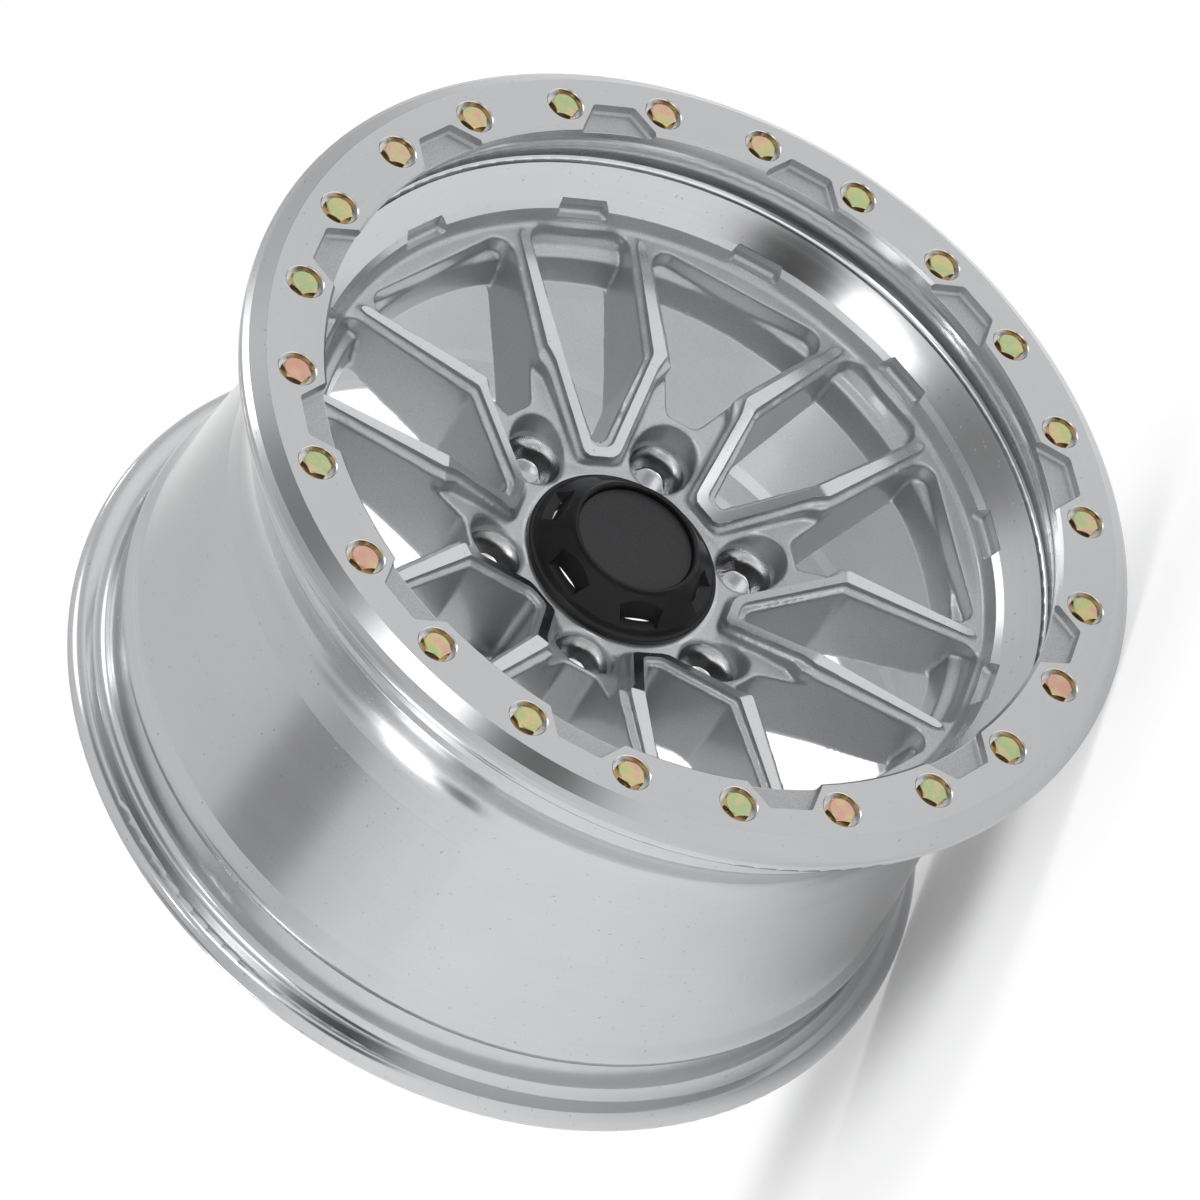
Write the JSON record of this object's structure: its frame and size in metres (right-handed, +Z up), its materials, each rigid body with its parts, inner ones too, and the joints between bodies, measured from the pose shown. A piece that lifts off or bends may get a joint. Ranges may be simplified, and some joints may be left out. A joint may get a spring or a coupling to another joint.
{
  "type": "wheel",
  "caption": "Deep-dish alloy off-road wheel with split spokes and a bolted bead-lock style ring; six-lug mount, closed-end nuts and snap-in centre cap.",
  "frame": {"origin": "on the axle, at the middle of the wheel's overall width", "axes": "+Y along the axle towards the vehicle (inboard), so the street side looks along -Y; +Z up through one spoke pair; +X to the right as seen from the street side"},
  "size_m": [0.4727, 0.261, 0.4728],
  "materials": {
    "cast_alloy": "machined and silver painted cast alloy",
    "ring_alloy": "satin machined",
    "zinc_bolts": "yellow zinc plated",
    "washers": "zinc plated",
    "chrome_nuts": "chrome plated",
    "cap_black": "satin black",
    "cap_disc_black": "fine matt black",
    "spring_wire": "spring steel"
  },
  "bodies": {
    "root": {"wheel_body": "cast_alloy", "beadlock_ring": "ring_alloy", "ring_bolts": "zinc_bolts", "ring_washers": "washers", "lug_nuts": "chrome_nuts", "centre_cap": "cap_black", "cap_disc": "cap_disc_black", "cap_tension_ring": "spring_wire"}
  },
  "joints": []
}
